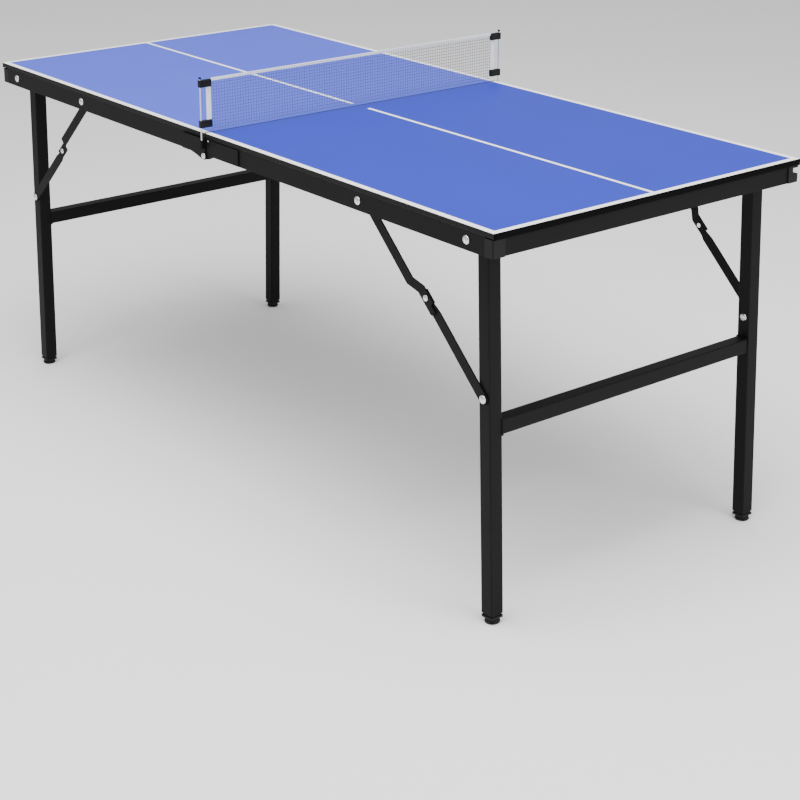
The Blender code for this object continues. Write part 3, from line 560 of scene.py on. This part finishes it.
for half, s in HALVES.items():
    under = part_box(f"side_frame_{half}")[1][2] - FLANGE_THICK
    screws = bmesh.new()
    places = [(s * x, t * (HALF_WIDE - FROM_LONG_SIDE)) for x in ALONG_SIDE for t in SIDES.values()]
    places += [(s * (HALF_LONG - FROM_END), y) for y in ALONG_END]
    for x, y in places:
        made = bmesh.ops.create_cone(
            screws,
            cap_ends=True,
            segments=20,
            radius1=SCREW_TIP,
            radius2=SCREW_RIM,
            depth=SCREW_TALL,
            matrix=Matrix.Translation((x, y, under - SCREW_DROP)),
        )["verts"]
        faces = {face for vert in made for face in vert.link_faces if abs(face.normal.z) > 0.99}
        low_cap = [face for face in faces if face.calc_center_median().z < under - 0.0020]
        bmesh.ops.inset_region(screws, faces=low_cap, thickness=SOCKET_RIM)
        sunk = list({vert for face in low_cap for vert in face.verts})
        bmesh.ops.translate(screws, verts=sunk, vec=(0, 0, SOCKET_DEEP))
    bmesh.ops.recalc_face_normals(screws, faces=screws.faces[:])
    piece(f"board_screws_{half}", screws, moulded_black, f"{half}_half")

# ---------------------------------------------------------------------------------------------
# The net posts: 3 mm bright steel rods, each with a small black ball pressed on its top end.
# They pass through the clips and drop into the sockets on the hinge leaves.
POST_RADIUS, POST_ROUND, RIM_ANGLE, BALL_SHARE = 0.0015, 0.0003, 1.2, 0.99

for side in SIDES:
    node = f"net_post_{side}"
    low, high, centre = node_box(node)
    ball_radius = (high.x - low.x) / 2
    rod_top = high.z - ball_radius
    rod = bmesh.new()
    bmesh.ops.create_cone(
        rod,
        cap_ends=True,
        segments=24,
        radius1=POST_RADIUS,
        radius2=POST_RADIUS,
        depth=rod_top - low.z,
        matrix=Matrix.Translation((centre.x, centre.y, (rod_top + low.z) / 2)),
    )
    rims = [edge for edge in rod.edges if edge.calc_face_angle(0.0) > RIM_ANGLE]
    rounded(rod, rims, POST_ROUND)
    piece(f"{node}_rod", rod, zinc_plate, "net", (node,))
    ball = bmesh.new()
    place = Matrix.Translation((centre.x, centre.y, rod_top))
    bmesh.ops.create_icosphere(ball, subdivisions=3, radius=ball_radius * BALL_SHARE, matrix=place)
    piece(f"post_ball_{side}", ball, moulded_black, "net", (node,))

# ---------------------------------------------------------------------------------------------
# The net clips: black moulded blocks, two at each end, that grip the end band and slide on the
# post. Each has a shallow panel sunk in both of its faces.
CLIP_ROUND, PANEL_FACE, PANEL_INSET, PANEL_DEEP = 0.0009, 0.00008, 0.0014, 0.0004

for side in SIDES:
    for level in ("lower", "upper"):
        node = f"net_clip_{level}_{side}"
        shape = softened(node, CLIP_ROUND)
        faces = [face for face in shape.faces if abs(face.normal.x) > 0.98 and face.calc_area() > PANEL_FACE]
        bmesh.ops.inset_region(shape, faces=faces, thickness=PANEL_INSET)
        bmesh.ops.inset_region(shape, faces=faces, thickness=PANEL_DEEP, depth=-PANEL_DEEP)
        piece(f"{node}_moulding", shape, moulded_black, "net", (node,))

# ---------------------------------------------------------------------------------------------
# The net: knotless polyester cord in 5.6 mm square meshes, held taut between the end bands.
# The cord is square in section. Its dull blue-grey is painted darker than the cord itself, partly as
# painted shade of the net on the board behind. The panel waves a little between its edges.
MESH_PITCH, CORD_THICK = 0.0056, 0.00070
INTO_TAPE, NET_SWAY, NET_SAG = 0.0022, 0.0012, 0.0010
END_HOLD, TOP_HOLD = 12, 8


def cord_parts(start):
    twist = {"Scale": 900.0, "Distortion": 1.5}
    lay = start.node("ShaderNodeTexWave", {"bands_direction": "DIAGONAL"}, twist, output=1)
    fuzz = start.grain(700.0, 3.0)
    return {
        # The cord's dark blue-grey is darker than the cord itself. It is partly painted shade, standing in
        # for the net's shade on the board behind it.
        "Base Color": fuzz.blend((0.040, 0.046, 0.090, 1), (0.080, 0.090, 0.155, 1)),
        "Roughness": 0.75 + 0.15 * fuzz,
        "height": (0.00008, lay),
    }


net_cord = finish("net_cord", cord_parts, Sheen_Weight=0.3)
net_low, net_high, _ = node_box("net_mesh")
net_high.z += INTO_TAPE
span, tall = net_high.y - net_low.y, net_high.z - net_low.z
across_cells, up_cells = round(span / MESH_PITCH), round(tall / MESH_PITCH)
net = bmesh.new()
bmesh.ops.create_grid(net, x_segments=across_cells, y_segments=up_cells, size=0.5)
bmesh.ops.scale(net, verts=net.verts[:], vec=(span - CORD_THICK, tall - CORD_THICK, 1.0))
bmesh.ops.rotate(net, verts=net.verts[:], cent=(0, 0, 0), matrix=Matrix(((0, 0, 1), (1, 0, 0), (0, 1, 0))))
bmesh.ops.translate(net, verts=net.verts[:], vec=(net_low + net_high) / 2)
bmesh.ops.wireframe(
    net, faces=net.faces[:], thickness=CORD_THICK, use_replace=True, use_boundary=True, use_even_offset=True
)
thread_area = sum(face.calc_area() for face in net.faces) / 2
for vert in net.verts:
    u = (vert.co.y - net_low.y) / span
    v = (vert.co.z - net_low.z) / tall
    hold = min(1.0, END_HOLD * u, END_HOLD * (1 - u), TOP_HOLD * (1 - v))
    vert.co.x += NET_SWAY * hold * noise.noise(Vector((7.0 * u, 1.6 * v, 3.0)))
    vert.co.z += NET_SAG * hold * noise.noise(Vector((9.0 * u, 2.0 * v, 8.0))) * (1 - 0.7 * v)
bmesh.ops.recalc_face_normals(net, faces=net.faces[:])
net_piece = piece("net_cord_mesh", net, net_cord, "net", ("net_mesh",), smooth=80.0)

# ---------------------------------------------------------------------------------------------
# The net's top tape and end bands: white woven polyester tape. The top one is folded over a
# thin cord and lock-stitched below it; the end bands are folded flat and stitched at both edges.
def tape_parts(start):
    place = start.node("ShaderNodeTexCoord", output=3)
    weave = {"Vector": place, "Scale": 520.0}
    warp = start.node("ShaderNodeTexWave", {"bands_direction": "Y"}, weave, output=1)
    weft = start.node("ShaderNodeTexWave", {"bands_direction": "Z"}, weave, output=1)
    soil = start.grain(25.0, 4.0)
    return {
        "Base Color": soil.blend((0.66, 0.69, 0.68, 1), (0.80, 0.82, 0.81, 1)),
        "Roughness": 0.78 + 0.12 * soil,
        "height": (0.00012, warp * 0.5 + weft * 0.5),
    }


def thread_parts(start):
    twist = start.grain(900.0, 3.0)
    return {
        "Base Color": twist.blend((0.74, 0.76, 0.76, 1), (0.86, 0.87, 0.87, 1)),
        "Roughness": 0.60 + 0.15 * twist,
        "height": (0.00005, twist),
    }


white_tape = finish("white_woven_tape", tape_parts, Sheen_Weight=0.35)
white_thread = finish("white_thread", thread_parts, Sheen_Weight=0.2)


STITCH_SHARE = 0.62
FOLD_START, FOLD_SWEEP, FOLD_STEPS = -40, 260, 16


def stitch_row(shape, length, gap, thick):
    """Adds a row of short stitches along Y, centred on the origin, to a bmesh."""
    count = int(length / gap)
    made = []
    for i in range(count):
        verts = bmesh.ops.create_cube(shape, size=1.0)["verts"]
        bmesh.ops.scale(shape, verts=verts, vec=(thick, STITCH_SHARE * gap, thick))
        bmesh.ops.translate(shape, verts=verts, vec=(0, (i + 0.5) * gap - count * gap / 2, 0))
        made += verts
    return made


def folded_tape(half, width, cloth, lip, length, cuts):
    """A bmesh of tape folded over a cord, and the tape's cut width.

    It runs along Z, with its fold at +Y and its open edges at y = 0.
    """
    turns = [math.radians(FOLD_START + FOLD_SWEEP * i / FOLD_STEPS) for i in range(FOLD_STEPS + 1)]
    outer = [(half * math.cos(a), width - half + half * math.sin(a)) for a in turns]
    outer = [(lip + cloth, 0.0)] + outer + [(-lip - cloth, 0.0)]
    inner = [((half - cloth) * math.cos(a), width - half + (half - cloth) * math.sin(a)) for a in turns]
    inner = [(lip, 0.0)] + inner + [(-lip, 0.0)]
    middle = [(Vector(o) + Vector(i)) / 2 for o, i in zip(outer, inner)]
    cut_width = sum((q - p).length for p, q in zip(middle, middle[1:]))
    shape = bmesh.new()
    outer_verts = [shape.verts.new((x, y, 0.0)) for x, y in outer]
    inner_verts = [shape.verts.new((x, y, 0.0)) for x, y in inner]
    faces = []
    for i in range(len(outer) - 1):
        corners = (outer_verts[i], outer_verts[i + 1], inner_verts[i + 1], inner_verts[i])
        faces.append(shape.faces.new(corners))
    pushed = bmesh.ops.extrude_face_region(shape, geom=faces)["geom"]
    moved = [item for item in pushed if isinstance(item, bmesh.types.BMVert)]
    bmesh.ops.translate(shape, verts=moved, vec=(0, 0, length))
    runs = [edge for edge in shape.edges if edge.calc_length() > 0.9 * length]
    bmesh.ops.subdivide_edges(shape, edges=runs, cuts=cuts, use_grid_fill=True)
    bmesh.ops.recalc_face_normals(shape, faces=shape.faces[:])
    return shape, cut_width


CLOTH, BAND_CLOTH, FOLD_GAP = 0.0004, 0.00035, 0.0001
TAPE_RAISED, TAPE_ROOM, TAPE_WAVE = 0.0010, 0.00025, 0.00035
BAND_ROOM, BAND_WAVE = 0.00015, 0.0002
STITCH_PITCH, TAPE_STITCH, BAND_STITCH = 0.0042, 0.0005, 0.0004
TAPE_SEAM_SHARE, BAND_SEAM_SHARE = 0.98, 0.94
TAPE_SEAM_UP, TAPE_SEAM_OUT = 0.0016, 0.0002
BAND_SEAMS = ((0.0014, 0.00045), (0.0072, 0.00055))

tape_low, tape_high, _ = node_box("net_top_tape")
tape_low.z += TAPE_RAISED
tape_half = (tape_high.x - tape_low.x) / 2 - TAPE_ROOM
tape_long = tape_high.y - tape_low.y
tape, tape_cut = folded_tape(tape_half, tape_high.z - tape_low.z, CLOTH, FOLD_GAP, tape_long, 90)
onto_top = Matrix.Translation((0, tape_high.y, tape_low.z)) @ Matrix.Rotation(math.pi / 2, 4, "X")
bmesh.ops.transform(tape, matrix=onto_top, verts=tape.verts[:])
for vert in tape.verts:
    u = (vert.co.y - tape_low.y) / tape_long
    vert.co.x += TAPE_WAVE * noise.noise(Vector((24.0 * u, 0, 5.0 + 60.0 * (tape_high.z - vert.co.z))))
tape_piece = piece("net_top_tape_cloth", tape, white_tape, "net", ("net_top_tape",), smooth=50.0)

stitches = bmesh.new()
for way in (-1, 1):
    row = stitch_row(stitches, TAPE_SEAM_SHARE * tape_long, STITCH_PITCH, TAPE_STITCH)
    place = (way * (CLOTH + TAPE_SEAM_OUT), 0, tape_low.z + TAPE_SEAM_UP)
    bmesh.ops.translate(stitches, verts=row, vec=place)
seam_piece = piece("net_tape_stitches", stitches, white_thread, "net")

for side, t in SIDES.items():
    node = f"net_band_{side}"
    low, high, centre = node_box(node)
    band_half = (high.x - low.x) / 2 - BAND_ROOM
    band_tall = high.z - low.z
    band, band_cut = folded_tape(band_half, high.y - low.y, BAND_CLOTH, FOLD_GAP, band_tall, 16)
    inner_edge = low.y if t > 0 else high.y
    turned_out = Matrix.Translation((0, inner_edge, low.z)) @ Matrix.Rotation(0 if t > 0 else math.pi, 4, "Z")
    bmesh.ops.transform(band, matrix=turned_out, verts=band.verts[:])
    for vert in band.verts:
        vert.co.x += BAND_WAVE * noise.noise(Vector((vert.co.y * 60.0, 0, vert.co.z * 90.0)))
    band_piece = piece(f"{node}_cloth", band, white_tape, "net", (node,), smooth=50.0)
    seams = bmesh.new()
    for way in (-1, 1):
        for depth, lift in BAND_SEAMS:
            row = stitch_row(seams, BAND_SEAM_SHARE * band_tall, STITCH_PITCH, BAND_STITCH)
            bmesh.ops.rotate(seams, verts=row, cent=(0, 0, 0), matrix=Matrix.Rotation(math.pi / 2, 3, "X"))
            place = (way * lift, inner_edge + t * depth, centre.z)
            bmesh.ops.translate(seams, verts=row, vec=place)
    seam_piece = piece(f"{node}_stitches", seams, white_thread, "net")
